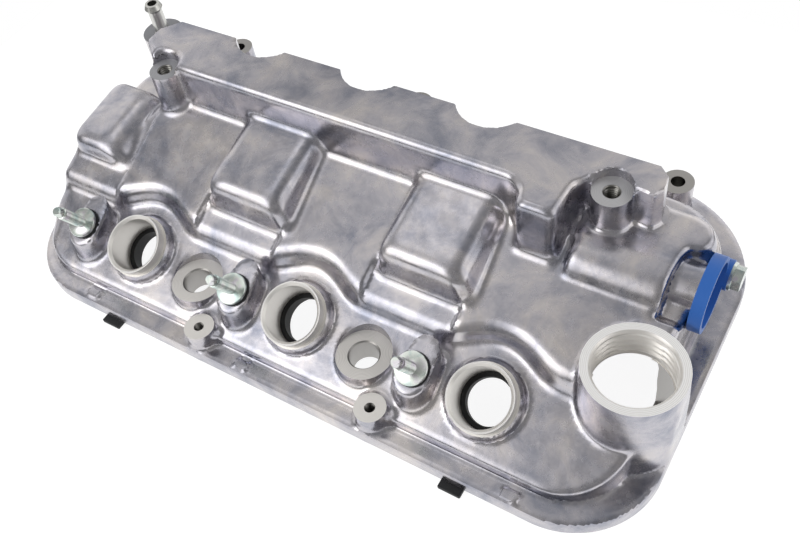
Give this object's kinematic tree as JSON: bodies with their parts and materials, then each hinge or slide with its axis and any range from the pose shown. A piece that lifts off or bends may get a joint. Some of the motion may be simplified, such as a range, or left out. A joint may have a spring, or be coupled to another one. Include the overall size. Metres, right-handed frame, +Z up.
{
  "type": "engine valve cover",
  "caption": "Die cast valve cover for the front bank of a V6 engine, with sloped coil deck, plug tube collars, threaded oil filler neck and oil separator chamber.",
  "frame": {"origin": "on the underside of the gasket bead, at the middle of the front rail, in the plane of the middle plug tube", "axes": "+X along the cover towards the oil filler, +Y from the coil side to the back, +Z up, away from the cylinder head"},
  "size_m": [0.348, 0.1986, 0.089],
  "materials": {
    "cast_aluminium": "as cast, burnished",
    "turned_aluminium": "turned",
    "sheet_aluminium": "rolled",
    "zinc_steel": "zinc plated",
    "black_rubber": "matte",
    "blue_plastic": "satin"
  },
  "bodies": {
    "root": {"cover": "cast_aluminium", "gasket": "black_rubber", "tube_seal_1": "black_rubber", "tube_seal_2": "black_rubber", "tube_seal_3": "black_rubber", "stud_1": "zinc_steel", "stud_2": "zinc_steel", "stud_3": "zinc_steel", "stud_ring_1": "black_rubber", "stud_ring_2": "black_rubber", "stud_ring_3": "black_rubber", "baffle": "sheet_aluminium", "baffle_screw_1": "zinc_steel", "baffle_screw_2": "zinc_steel", "baffle_screw_3": "zinc_steel", "baffle_screw_4": "zinc_steel", "valve_plug": "blue_plastic", "plug_ring": "black_rubber", "plug_bolt": "zinc_steel", "nipple": "turned_aluminium"}
  },
  "joints": []
}
